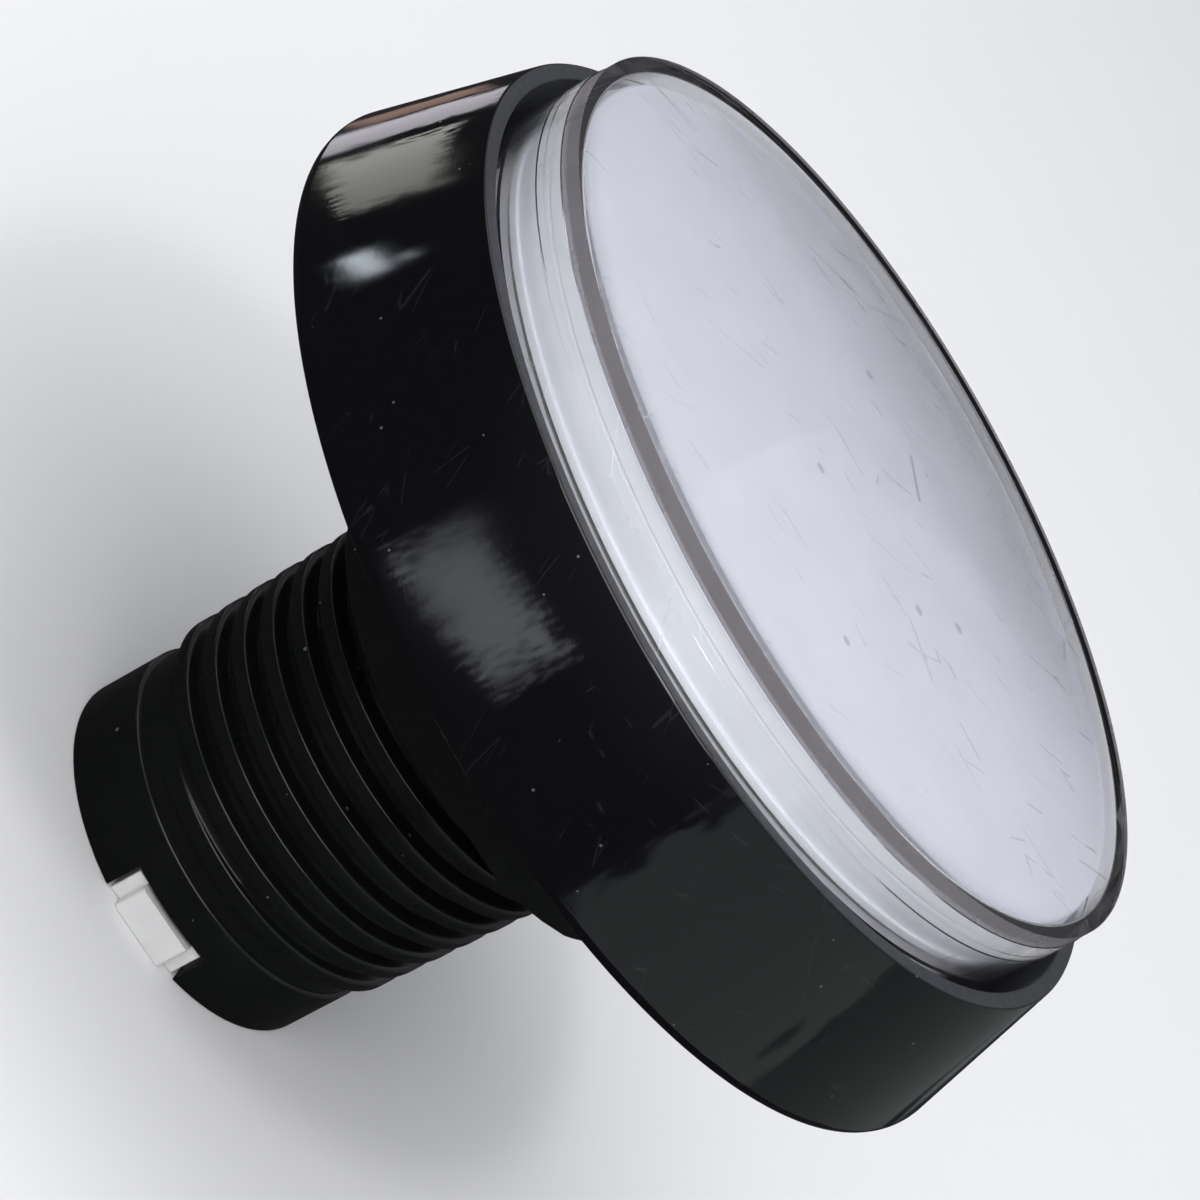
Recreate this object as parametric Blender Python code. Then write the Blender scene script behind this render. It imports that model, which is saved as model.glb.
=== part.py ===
"""Illuminated quiz buzzer: a 60 mm push button with a threaded stem, lamp and switch inside.

The button's axis is +Z and its pressed face looks up. The origin is on the axis, at the open end
of the stem. All numbers below are millimetres; the meshes are built in metres.
"""
import math

import bmesh
import bpy
from mathutils import Matrix, Vector

MM = 0.001
GAP = 0.3                   # air between neighbouring pieces

# Heights above the open end of the stem
NOTCH_TOP = 2.35
COLLAR_TOP = 4.57
NECK_BOTTOM = 20.3
SEAT = 30.1                 # rear edge of the bezel, which rests on the panel
RIM = SEAT + 10.1           # front edge of the bezel
SHOULDER = SEAT + 13.27     # outer step of the lens, level with the underside of its top
LENS_EDGE = SEAT + 14.44    # outer edge of the lens's pressed face
LENS_CROWN = 0.4            # rise of the pressed face from its edge to its middle

# Radii
BEZEL_REAR = 30.0
RIM_OUTER = 27.45
RIM_INNER = 26.5
LENS_OUTER = 25.55
LENS_WALL = 1.0
LENS_LIP = 1.0              # width of the lip inside the lens that hooks under the disc
DIFFUSER_STEP = 0.2         # the diffuser's foot stands this far out from its side
COLLAR = 10.65
THREAD_CREST_TOP = 11.52    # the thread tapers a little towards the open end
THREAD_CREST_END = 11.08
THREAD_ROOT = 10.4
THREAD_PITCH = 2.0
THREAD_MARGIN = 0.06        # plain root left at each end of the thread
THREAD_START = -140.0       # angle in degrees from +X at which the thread begins
# One pitch of the thread: share of the pitch, share of the depth
THREAD_SHAPE = [(0.0, 0.0), (0.34, 0.0), (0.45, 1.0), (0.9, 1.0)]
NECK = 12.9
# Key on the +X side of the neck that stops the button turning: angle from +X in degrees, radius
NECK_LUG = [(40.0, 14.6), (48.0, 14.35), (56.0, 14.15), (64.0, 13.9), (75.0, 12.85)]
BORE = 9.1
GUIDE_BORE = 8.1

# Flange of the threaded body, clipped into the back of the bezel
FLANGE = 27.4
FLANGE_TOP = SEAT + 3.0
POCKET = FLANGE + GAP       # recess in the bezel that the flange fits
BEAD = 27.2                 # snap bead that keeps the flange in
HOLLOWS = 6                 # shallow hollows in the flange's underside that keep it thin
HOLLOW_IN, HOLLOW_OUT = 16.5, 25.0
HOLLOW_HALF_ANGLE = 26.0
HOLLOW_TOP = SEAT + 1.6

# Carrier for the switch and the lamp, pushed into the open end of the stem
CARRIER = BORE - GAP
CARRIER_BORE = 7.8
CARRIER_TOP = 11.6
FLOOR_LOW, FLOOR_HIGH = 4.9, 6.4
KEY_WIDTH = 5.7
NOTCH_WIDTH = KEY_WIDTH + 2 * GAP
KEY_SIDE = 9.9
KEY_BLOCK = 10.75           # the middle of the key stands proud of its sides and of the collar
BLOCK_WIDTH = 4.15

# Plunger
TUBE = 7.8
TUBE_BORE = 6.6
TUBE_END = 25.6
HOOK = 8.7
GUIDE_END = 27.3
LEG_SLOTS = 4               # slots that split the end of the tube into hooked legs
SLOT_WIDTH, SLOT_LENGTH = 1.6, 7.0
BAR_WIDTH, BAR_DEPTH = 2.6, 1.9     # bar across the tube that carries the post
DISC = 24.0
DISC_LOW, DISC_HIGH = 37.6, 39.4
DISC_POCKET = DISC + GAP    # recess in the lens that snaps round the disc
LENS_END = 36.5

# Return spring
WIRE = 0.8
COIL = 8.2
SPRING_LOW = CARRIER_TOP + GAP
SPRING_HIGH = TUBE_END - GAP
SPRING_TURNS = 6.0

# Microswitch; its length runs along X
SWITCH_Y = -1.2
CASE_X, CASE_Y = 6.3, 2.85  # half length and half width
CASE_WALL = 0.7
CASE_LOW, CASE_SPLIT, CASE_HIGH = 6.7, 10.5, 12.8
BUTTON_X = 2.7
BUTTON = 0.55
BUTTON_HOLE = BUTTON + 0.35
PIN = 0.35
PIN_HOLE = PIN + 0.25
EAR = 0.95                  # half width of the cover's ears, which hold the pin
EYE_IN, EYE_OUT = 0.62, 0.92        # rolled eye of the lever
HINGE_X, HINGE_Z = 5.3, 14.05
LEVER_REST = math.radians(18.6)
LEVER_THICK = 0.3
LEVER_LENGTH, LEVER_WIDTH = 11.2, 3.0
STRIKER_X = -3.9
STRIKER_RADIUS = 1.1
TAB_END = 0.9               # lower end of every terminal tab
TAB_WIDTH, TAB_THICK = 2.0, 0.5
TAB_SPACING = 5.05
OPEN_CONTACT = CASE_LOW + 1.6       # underside of the lower contact
BLADE_LOW, BLADE_HIGH = CASE_LOW + 4.15, CASE_LOW + 4.35
CONTACT_X = 4.25            # middle of the contacts at the blade's free end

# Lamp
LED_X, LED_Y = 3.3, 4.5
LED, LED_FOOT = 1.5, 1.8
LED_BARREL = 3.6            # height of the straight side, foot included
BOARD_LOW, BOARD_HIGH = 6.7, 7.7
BOARD, BOARD_EDGE = 7.4, 2.0        # radius of the board, distance of its straight edge from the axis
LAMP_TAB_X, LAMP_TAB_Y = 4.1, 5.1

FINE = 48                   # facets round the bezel and the lens
ROUND = 40                  # facets round the stem
SMALL = 16                  # facets round small turned pieces


def clear_scene():
    for obj in list(bpy.data.objects):
        bpy.data.objects.remove(obj, do_unlink=True)


def material(name, colour, roughness, metallic=0.0, transmission=0.0):
    mat = bpy.data.materials.new(name)
    mat.use_nodes = True
    shader = mat.node_tree.nodes["Principled BSDF"]
    shader.inputs["Base Color"].default_value = (*colour, 1.0)
    shader.inputs["Roughness"].default_value = roughness
    shader.inputs["Metallic"].default_value = metallic
    shader.inputs["Transmission Weight"].default_value = transmission
    return mat


def add_object(name, bm, mat, pivot=(0.0, 0.0, 0.0)):
    """Turn a millimetre bmesh into a named object whose origin is at pivot."""
    bmesh.ops.recalc_face_normals(bm, faces=bm.faces)
    centre = Vector(pivot)
    bmesh.ops.translate(bm, verts=bm.verts, vec=-centre)
    bmesh.ops.scale(bm, verts=bm.verts, vec=(MM, MM, MM))
    mesh = bpy.data.meshes.new(name)
    bm.to_mesh(mesh)
    bm.free()
    mesh.materials.append(mat)
    mesh.shade_smooth()
    mesh.set_sharp_from_angle(angle=math.radians(30))
    obj = bpy.data.objects.new(name, mesh)
    obj.location = centre * MM
    bpy.context.collection.objects.link(obj)
    return obj


def boolean(target, bm, operation, label):
    """Cut a millimetre bmesh out of target, or join it on."""
    cutter = add_object(f"{target.name}_{label}", bm, target.data.materials[0])
    cutter.hide_render = True
    cutter.display_type = "WIRE"
    modifier = target.modifiers.new(label, "BOOLEAN")
    modifier.operation = operation
    modifier.solver = "EXACT"
    modifier.object = cutter


def ring_of(bm, radius, height, segments, start=0.0):
    step = 2 * math.pi / segments
    return [
        bm.verts.new((radius * math.cos(start + i * step), radius * math.sin(start + i * step), height))
        for i in range(segments)
    ]


def join_rings(bm, lower, upper):
    count = len(lower)
    for i in range(count):
        j = (i + 1) % count
        bm.faces.new((lower[i], lower[j], upper[j], upper[i]))


def fan(bm, ring, height):
    tip = bm.verts.new((0.0, 0.0, height))
    for i, vert in enumerate(ring):
        bm.faces.new((vert, ring[(i + 1) % len(ring)], tip))


def lathe(profile, segments):
    """Turn a closed outline of (radius, height) points; a radius of 0 makes a pole."""
    bm = bmesh.new()
    rings = [ring_of(bm, r, z, segments) if r > 0 else z for r, z in profile]
    for first, second in zip(rings, rings[1:] + rings[:1]):
        if isinstance(first, list) and isinstance(second, list):
            join_rings(bm, first, second)
        elif isinstance(first, list):
            fan(bm, first, second)
        elif isinstance(second, list):
            fan(bm, second, first)
    return bm


def box(x0, x1, y0, y1, z0, z1, bm=None):
    bm = bm or bmesh.new()
    size = Matrix.Diagonal((x1 - x0, y1 - y0, z1 - z0, 1.0))
    place = Matrix.Translation(((x0 + x1) / 2, (y0 + y1) / 2, (z0 + z1) / 2))
    bmesh.ops.create_cube(bm, size=1.0, matrix=place @ size)
    return bm


def prism(outline, low, high, bm=None):
    """Extrude an outline of (x, y) points from one height to another."""
    bm = bm or bmesh.new()
    bottom = [bm.verts.new((x, y, low)) for x, y in outline]
    top = [bm.verts.new((x, y, high)) for x, y in outline]
    bm.faces.new(bottom)
    bm.faces.new(top)
    join_rings(bm, bottom, top)
    return bm


def strip(outline, y0, y1):
    """Extrude an outline of (x, z) points along Y."""
    bm = prism(outline, y0, y1)
    for vert in bm.verts:
        x, z, y = vert.co
        vert.co = (x, y, z)
    return bm


def sector(inner, outer, middle, half_angle, steps):
    """Outline of a slice of a ring; angles in degrees."""
    angles = [math.radians(middle - half_angle + 2 * half_angle * i / steps) for i in range(steps + 1)]
    outside = [(outer * math.cos(a), outer * math.sin(a)) for a in angles]
    inside = [(inner * math.cos(a), inner * math.sin(a)) for a in reversed(angles)]
    return outside + inside


def rod(radius, length, place, segments=SMALL):
    """A cylinder along Z about the origin, moved by a matrix."""
    bm = bmesh.new()
    bmesh.ops.create_cone(bm, cap_ends=True, segments=segments, radius1=radius, radius2=radius,
                          depth=length, matrix=place)
    return bm


def along_y(x, y, z):
    return Matrix.Translation((x, y, z)) @ Matrix.Rotation(math.pi / 2, 4, "X")


# ---------------------------------------------------------------- housing

def bezel_shell(mat):
    profile = [
        (RIM_INNER, RIM), (RIM_OUTER - 0.15, RIM), (RIM_OUTER, RIM - 0.15),
        (BEZEL_REAR - 0.12, SEAT + 1.1), (BEZEL_REAR, SEAT + 0.6), (BEZEL_REAR - 0.2, SEAT + 0.2),
        (BEZEL_REAR - 0.7, SEAT), (BEAD, SEAT), (BEAD, SEAT + 0.6), (POCKET, SEAT + 0.9),
        (POCKET, FLANGE_TOP + GAP), (RIM_INNER, FLANGE_TOP + GAP),
    ]
    return add_object("bezel_shell", lathe(profile, FINE), mat)


def thread_rows(bm, low_ring, high_ring):
    """Helical outer surface between two plain rings; both ends of the thread fade into its root."""
    room = NECK_BOTTOM - COLLAR_TOP - 2 * THREAD_MARGIN
    columns = int((room / THREAD_PITCH - 1.0) * ROUND)
    last = columns - 1
    fade = ROUND // 4
    grid = []
    for k in range(columns + ROUND):
        crest = THREAD_CREST_END + (THREAD_CREST_TOP - THREAD_CREST_END) * min(1.0, k / last)
        depth = (crest - THREAD_ROOT) * max(0.0, min(1.0, k / fade, (last - k) / fade))
        angle = math.radians(THREAD_START) + 2 * math.pi * k / ROUND
        base = COLLAR_TOP + THREAD_MARGIN + THREAD_PITCH * k / ROUND
        column = []
        for along, share in THREAD_SHAPE if k < columns else THREAD_SHAPE[:1]:
            radius = THREAD_ROOT + depth * share
            spot = (radius * math.cos(angle), radius * math.sin(angle), base + THREAD_PITCH * along)
            column.append(bm.verts.new(spot))
        grid.append(column)

    def edge(k):
        """One pitch of the thread's outline, up to the start of the turn above."""
        return grid[k] + [grid[k + ROUND][0]]

    for k in range(last):
        left, right = edge(k), edge(k + 1)
        for m in range(len(left) - 1):
            bm.faces.new((left[m], right[m], right[m + 1], left[m + 1]))
    for i in range(ROUND - 1):
        bm.faces.new((low_ring[i], low_ring[i + 1], grid[i + 1][0], grid[i][0]))
    bm.faces.new([low_ring[-1], low_ring[0]] + edge(0) + [grid[ROUND - 1][0]])
    for k in range(columns, last + ROUND):
        bm.faces.new((grid[k][0], grid[k + 1][0], high_ring[(k + 1) % ROUND], high_ring[k % ROUND]))
    bm.faces.new([grid[columns][0]] + edge(last) + [high_ring[last % ROUND], high_ring[columns % ROUND]])


def lug_outline():
    """Outline of the neck's key: a slice of a ring whose outer side slopes down at both ends."""
    inner = NECK - 1.0
    steps = 8
    half = [(math.radians(a), r) for a, r in NECK_LUG]
    start, radius = half[0]
    outside = [(start * (2 * i / steps - 1), radius) for i in range(1, steps)]
    outside = [(-a, r) for a, r in reversed(half)] + outside + half
    end = half[-1][0]
    inside = [(end * (1 - 2 * i / steps), inner) for i in range(steps + 1)]
    return [(r * math.cos(a), r * math.sin(a)) for a, r in outside + inside]


def threaded_body(mat):
    """Stem, neck and flange, with the bore that guides the plunger."""
    bm = bmesh.new()
    below = [(BORE, 0.0), (COLLAR - 0.2, 0.0), (COLLAR, 0.2), (COLLAR, COLLAR_TOP - 0.25),
             (THREAD_ROOT, COLLAR_TOP)]
    above = [(THREAD_ROOT, NECK_BOTTOM), (NECK - 0.15, NECK_BOTTOM), (NECK, NECK_BOTTOM + 0.15),
             (NECK, SEAT), (FLANGE - 0.5, SEAT), (FLANGE - 0.5, SEAT + 0.9), (FLANGE, SEAT + 1.2),
             (FLANGE, FLANGE_TOP), (GUIDE_BORE + 0.3, FLANGE_TOP), (GUIDE_BORE, FLANGE_TOP - 0.3),
             (GUIDE_BORE, GUIDE_END + 0.3), (BORE, GUIDE_END), (BORE, 4.4), (BORE + 0.45, 4.2),
             (BORE + 0.45, 3.4), (BORE, 3.2)]
    start = math.radians(THREAD_START)
    rings_below = [ring_of(bm, r, z, ROUND, start) for r, z in below]
    rings_above = [ring_of(bm, r, z, ROUND, start) for r, z in above]
    for first, second in zip(rings_below, rings_below[1:]):
        join_rings(bm, first, second)
    for first, second in zip(rings_above, rings_above[1:] + rings_below[:1]):
        join_rings(bm, first, second)
    thread_rows(bm, rings_below[-1], rings_above[0])
    body = add_object("threaded_body", bm, mat)

    lug = prism(lug_outline(), NECK_BOTTOM + 0.05, SEAT + 0.5)
    boolean(body, lug, "UNION", "lug")

    notches = box(-NOTCH_WIDTH / 2, NOTCH_WIDTH / 2, -COLLAR - 1, -BORE + 1.5, -1.0, NOTCH_TOP)
    box(-NOTCH_WIDTH / 2, NOTCH_WIDTH / 2, BORE - 1.5, COLLAR + 1, -1.0, NOTCH_TOP, notches)
    boolean(body, notches, "DIFFERENCE", "notches")

    hollows = bmesh.new()
    step = 360 / HOLLOWS
    for i in range(HOLLOWS):
        outline = sector(HOLLOW_IN, HOLLOW_OUT, step * (i + 0.5), HOLLOW_HALF_ANGLE, 6)
        prism(outline, SEAT - 1.0, HOLLOW_TOP, hollows)
    boolean(body, hollows, "DIFFERENCE", "hollows")
    return body


# ---------------------------------------------------------------- pressed pieces

def crown(radius, steps):
    """Points of the slightly domed face, from its edge to the axis."""
    points = []
    for i in range(steps + 1):
        r = radius * (1 - i / steps)
        points.append((r, LENS_EDGE + LENS_CROWN * (1 - (r / radius) ** 2)))
    return points


def lens_cap(mat):
    inner = LENS_OUTER - LENS_WALL
    lip = inner - LENS_LIP
    profile = [(LENS_OUTER, LENS_END), (LENS_OUTER, SHOULDER - 0.15), (LENS_OUTER - 0.15, SHOULDER),
               (LENS_OUTER - 0.15, LENS_EDGE - 0.2)]
    profile += crown(LENS_OUTER - 0.35, 3)
    profile += [(0.0, SHOULDER), (inner, SHOULDER), (inner, DISC_HIGH), (DISC_POCKET, DISC_HIGH - 0.3),
                (DISC_POCKET, DISC_LOW - 0.2), (lip, DISC_LOW - GAP), (lip, LENS_END)]
    return add_object("lens_cap", lathe(profile, FINE), mat)


def diffuser(mat):
    """White cup between the lens and the plunger's disc, with a narrow foot round its open end."""
    foot = LENS_OUTER - LENS_WALL - GAP
    outer = foot - DIFFUSER_STEP
    inner = foot - 1.1
    low = DISC_HIGH + GAP
    foot_top = low + 0.45
    high = SHOULDER - GAP
    roof = high - 1.2
    profile = [(foot, low), (foot, foot_top), (outer, foot_top), (outer, high - 0.4), (outer - 0.4, high),
               (0.0, high), (0.0, roof), (inner, roof), (inner, low)]
    return add_object("diffuser", lathe(profile, FINE), mat)


def plunger(mat):
    """Disc under the lens, a guide tube with four hooked legs, and the bar that works the switch."""
    profile = [(DISC, DISC_LOW), (DISC, DISC_HIGH), (TUBE_BORE, DISC_HIGH), (TUBE_BORE, TUBE_END),
               (HOOK - 0.6, TUBE_END), (HOOK, TUBE_END + 0.6), (HOOK, GUIDE_END - GAP),
               (TUBE, GUIDE_END - GAP), (TUBE, DISC_LOW)]
    body = add_object("plunger", lathe(profile, ROUND), mat)

    slots = bmesh.new()
    half = SLOT_WIDTH / 2
    for i in range(LEG_SLOTS):
        turn = Matrix.Rotation(math.tau / LEG_SLOTS * (i + 0.5), 4, "Z")
        piece = box(TUBE_BORE - 1.5, HOOK + 1, -half, half, TUBE_END - 1, TUBE_END + SLOT_LENGTH)
        bmesh.ops.transform(piece, matrix=turn, verts=piece.verts)
        merge(slots, piece)
    boolean(body, slots, "DIFFERENCE", "slots")

    reach = TUBE_BORE + 0.4
    bar_low = TUBE_END + 0.1
    bar = box(-reach, reach, SWITCH_Y - BAR_WIDTH / 2, SWITCH_Y + BAR_WIDTH / 2, bar_low, bar_low + BAR_DEPTH)
    boolean(body, bar, "UNION", "bar")

    low = striker_height()
    length = bar_low + BAR_DEPTH / 2 - low
    post = rod(STRIKER_RADIUS, length, Matrix.Translation((STRIKER_X, SWITCH_Y, low + length / 2)))
    boolean(body, post, "UNION", "post")
    return body


def merge(target, piece):
    """Add a copy of one bmesh to another."""
    mesh = bpy.data.meshes.new("piece")
    piece.to_mesh(mesh)
    piece.free()
    target.from_mesh(mesh)
    bpy.data.meshes.remove(mesh)


def striker_height():
    """Rest height of the plunger's post, just above the switch lever."""
    far_edge = HINGE_X - STRIKER_X + STRIKER_RADIUS
    lever_top = HINGE_Z + far_edge * math.tan(LEVER_REST) + LEVER_THICK / 2
    return lever_top + GAP


def return_spring(mat):
    """Coil spring on one helix, with closed turns at both ends."""
    sides, steps_per_turn = 6, 18
    steps = int(SPRING_TURNS * steps_per_turn)
    low = SPRING_LOW + WIRE / 2
    high = SPRING_HIGH - WIRE / 2
    closed = (WIRE + 0.12) / (high - low)       # rise of one closed end turn, as a share of the whole
    bm = bmesh.new()
    rings = []
    for k in range(steps + 1):
        turn = k / steps_per_turn
        if turn < 1:
            rise = closed * turn
        elif turn > SPRING_TURNS - 1:
            rise = 1 - closed * (SPRING_TURNS - turn)
        else:
            rise = closed + (1 - 2 * closed) * (turn - 1) / (SPRING_TURNS - 2)
        z = low + (high - low) * rise
        angle = 2 * math.pi * turn
        out = Vector((math.cos(angle), math.sin(angle), 0.0))
        ring = []
        for s in range(sides):
            a = 2 * math.pi * s / sides
            point = out * (COIL + WIRE / 2 * math.cos(a)) + Vector((0, 0, z + WIRE / 2 * math.sin(a)))
            ring.append(bm.verts.new(point))
        rings.append(ring)
    for first, second in zip(rings, rings[1:]):
        join_rings(bm, first, second)
    bm.faces.new(rings[0])
    bm.faces.new(rings[-1])
    return add_object("return_spring", bm, mat)


# ---------------------------------------------------------------- carrier

def terminal_carrier(mat):
    """White insert in the end of the stem, keyed in the two notches and held by a snap bead."""
    profile = [(CARRIER, 0.0), (CARRIER, 3.6), (CARRIER + 0.4, 3.7), (CARRIER + 0.4, 3.9),
               (CARRIER, 4.1), (CARRIER, CARRIER_TOP), (CARRIER_BORE, CARRIER_TOP),
               (CARRIER_BORE, FLOOR_HIGH), (0.0, FLOOR_HIGH), (0.0, FLOOR_LOW),
               (CARRIER_BORE, FLOOR_LOW), (CARRIER_BORE, 0.0)]
    body = add_object("terminal_carrier", lathe(profile, ROUND), mat)
    inner = CARRIER - 0.6
    half = KEY_WIDTH / 2
    block = BLOCK_WIDTH / 2
    for side, label in ((-1, "front_key"), (1, "rear_key")):
        outline = [(-half, inner), (half, inner), (half, KEY_SIDE), (block, KEY_SIDE),
                   (block, KEY_BLOCK - 0.2), (block - 0.3, KEY_BLOCK), (0.3 - block, KEY_BLOCK),
                   (-block, KEY_BLOCK - 0.2), (-block, KEY_SIDE), (-half, KEY_SIDE)]
        outline = [(x, side * y) for x, y in outline]
        boolean(body, prism(outline, 0.05, NOTCH_TOP - GAP), "UNION", label)
    slots = bmesh.new()
    for x in (-TAB_SPACING, 0.0, TAB_SPACING):
        box(x - TAB_THICK / 2 - GAP, x + TAB_THICK / 2 + GAP, SWITCH_Y - TAB_WIDTH / 2 - GAP,
            SWITCH_Y + TAB_WIDTH / 2 + GAP, FLOOR_LOW - 1, FLOOR_HIGH + 1, slots)
    for x in (-LAMP_TAB_X, LAMP_TAB_X):
        box(x - TAB_WIDTH / 2 - GAP, x + TAB_WIDTH / 2 + GAP, LAMP_TAB_Y - TAB_THICK / 2 - GAP,
            LAMP_TAB_Y + TAB_THICK / 2 + GAP, FLOOR_LOW - 1, FLOOR_HIGH + 1, slots)
    boolean(body, slots, "DIFFERENCE", "slots")
    return body


# ---------------------------------------------------------------- microswitch

def switch_case(mat):
    body = add_object("switch_case", box(-CASE_X, CASE_X, SWITCH_Y - CASE_Y, SWITCH_Y + CASE_Y,
                                         CASE_LOW, CASE_SPLIT), mat)
    hollow = box(CASE_WALL - CASE_X, CASE_X - CASE_WALL, SWITCH_Y - CASE_Y + CASE_WALL,
                 SWITCH_Y + CASE_Y - CASE_WALL, CASE_LOW + 0.8, CASE_SPLIT + 1)
    boolean(body, hollow, "DIFFERENCE", "hollow")
    slots = bmesh.new()
    for x in (-TAB_SPACING, 0.0, TAB_SPACING):
        box(x - TAB_THICK / 2 - GAP, x + TAB_THICK / 2 + GAP, SWITCH_Y - TAB_WIDTH / 2 - GAP,
            SWITCH_Y + TAB_WIDTH / 2 + GAP, CASE_LOW - 1, CASE_LOW + 1, slots)
    boolean(body, slots, "DIFFERENCE", "slots")
    return body


def switch_cover(mat):
    low = CASE_SPLIT + GAP
    body = add_object("switch_cover", box(-CASE_X, CASE_X, SWITCH_Y - CASE_Y, SWITCH_Y + CASE_Y,
                                          low, CASE_HIGH), mat)
    hollow = box(CASE_WALL - CASE_X, CASE_X - CASE_WALL, SWITCH_Y - CASE_Y + CASE_WALL,
                 SWITCH_Y + CASE_Y - CASE_WALL, low - 1, CASE_HIGH - 0.6)
    boolean(body, hollow, "DIFFERENCE", "hollow")
    hole = rod(BUTTON_HOLE, 4.0, Matrix.Translation((BUTTON_X, SWITCH_Y, CASE_HIGH)))
    boolean(body, hole, "DIFFERENCE", "hole")
    for side, label in ((-1, "front_ear"), (1, "rear_ear")):
        edges = sorted((SWITCH_Y + side * CASE_Y, SWITCH_Y + side * (CASE_Y - 0.8)))
        ear = box(HINGE_X - EAR, HINGE_X + EAR, edges[0], edges[1], CASE_HIGH - 0.3, HINGE_Z + EAR)
        boolean(body, ear, "UNION", label)
    pin_hole = rod(PIN_HOLE, 2 * CASE_Y + 2, along_y(HINGE_X, SWITCH_Y, HINGE_Z), 12)
    boolean(body, pin_hole, "DIFFERENCE", "pin_hole")
    return body


def lever_pin(mat):
    pin = rod(PIN, 2 * CASE_Y - 0.1, along_y(HINGE_X, SWITCH_Y, HINGE_Z), 12)
    return add_object("lever_pin", pin, mat)


def switch_lever(mat):
    """Leaf lever with a rolled eye round its pin; its origin is on the pin."""
    half = LEVER_THICK / 2
    count = 12
    opening = math.asin(half / EYE_OUT)
    outline = []
    for i in range(count + 1):
        a = math.pi - opening - (2 * math.pi - 2 * opening) * i / count
        outline.append((EYE_OUT * math.cos(a), EYE_OUT * math.sin(a)))
    outline += [(-LEVER_LENGTH, -half), (-LEVER_LENGTH, half)]
    bm = strip(outline, SWITCH_Y - LEVER_WIDTH / 2, SWITCH_Y + LEVER_WIDTH / 2)
    bmesh.ops.rotate(bm, verts=bm.verts, cent=(0, 0, 0), matrix=Matrix.Rotation(LEVER_REST, 3, "Y"))
    bmesh.ops.translate(bm, verts=bm.verts, vec=(HINGE_X, 0, HINGE_Z))
    lever = add_object("switch_lever", bm, mat, pivot=(HINGE_X, SWITCH_Y, HINGE_Z))
    hole = rod(EYE_IN, 2 * CASE_Y, along_y(HINGE_X, SWITCH_Y, HINGE_Z), count)
    boolean(lever, hole, "DIFFERENCE", "eye")
    return lever


def switch_button(mat):
    """Push pin of the switch; its top follows the underside of the lever."""
    lever_low = HINGE_Z + (HINGE_X - BUTTON_X - BUTTON) * math.tan(LEVER_REST) - LEVER_THICK / 2
    top = lever_low - GAP
    low = BLADE_HIGH + GAP
    collar = low + 0.4
    wide = BUTTON + 0.3
    profile = [(0.0, low), (wide, low), (wide, collar), (BUTTON, collar), (BUTTON, top - 0.2),
               (BUTTON - 0.2, top), (0.0, top)]
    bm = lathe(profile, 12)
    bmesh.ops.translate(bm, verts=bm.verts, vec=(BUTTON_X, SWITCH_Y, 0))
    return add_object("switch_button", bm, mat, pivot=(BUTTON_X, SWITCH_Y, low))


def contact(name, outline, mat):
    bm = strip(outline, SWITCH_Y - TAB_WIDTH / 2, SWITCH_Y + TAB_WIDTH / 2)
    return add_object(name, bm, mat)


def contact_common(mat):
    left, right = -TAB_SPACING - TAB_THICK / 2, -TAB_SPACING + TAB_THICK / 2
    top = BLADE_LOW - GAP
    return contact("contact_common", [(left, TAB_END), (right, TAB_END), (right, top), (left, top)], mat)


def contact_open(mat):
    """Lower contact, which the blade reaches when the button is down."""
    half = TAB_THICK / 2
    low, high = OPEN_CONTACT, OPEN_CONTACT + 0.4
    near, far = CONTACT_X - 0.35, CONTACT_X + 0.35
    outline = [(-half, TAB_END), (half, TAB_END), (half, low), (far, low), (far, high + 0.6),
               (near, high + 0.6), (near, high), (-half, high)]
    return contact("contact_open", outline, mat)


def contact_closed(mat):
    """Upper contact, which the blade rests under while the button is up."""
    left, right = TAB_SPACING - 0.2, TAB_SPACING + 0.2
    near = CONTACT_X - 0.35
    low, high = BLADE_HIGH + GAP, BLADE_HIGH + GAP + 0.35
    outline = [(left, TAB_END), (right, TAB_END), (right, high), (near, high), (near, low), (left, low)]
    return contact("contact_closed", outline, mat)


def contact_blade(mat):
    """Moving blade with a contact button at its free end; its origin is on its fixed end."""
    low, high = BLADE_LOW, BLADE_HIGH
    near, far, tip = CONTACT_X - 0.25, CONTACT_X + 0.25, CONTACT_X + 0.35
    root = -TAB_SPACING - 0.2
    outline = [(root, low), (near, low), (near, low - 0.3), (far, low - 0.3), (far, low), (tip, low),
               (tip, high), (root, high)]
    bm = strip(outline, SWITCH_Y - 0.9, SWITCH_Y + 0.9)
    return add_object("contact_blade", bm, mat, pivot=(-TAB_SPACING, SWITCH_Y, low))


# ---------------------------------------------------------------- lamp

def lamp_board(mat):
    """Small board in the shape of a circle's segment."""
    half = math.degrees(math.acos(BOARD_EDGE / BOARD))
    steps = 14
    angles = [math.radians(90 - half + 2 * half * i / steps) for i in range(steps + 1)]
    outline = [(BOARD * math.cos(a), BOARD * math.sin(a)) for a in angles]
    return add_object("lamp_board", prism(outline, BOARD_LOW, BOARD_HIGH), mat)


def led(name, x, mat):
    low = BOARD_HIGH + GAP
    foot, dome = low + 0.9, low + LED_BARREL
    profile = [(0.0, low), (LED_FOOT, low), (LED_FOOT, foot), (LED, foot), (LED, dome)]
    steps = 4
    for i in range(1, steps):
        a = math.pi / 2 * i / steps
        profile.append((LED * math.cos(a), dome + LED * math.sin(a)))
    profile.append((0.0, dome + LED))
    bm = lathe(profile, SMALL)
    bmesh.ops.translate(bm, verts=bm.verts, vec=(x, LED_Y, 0))
    return add_object(name, bm, mat)


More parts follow.
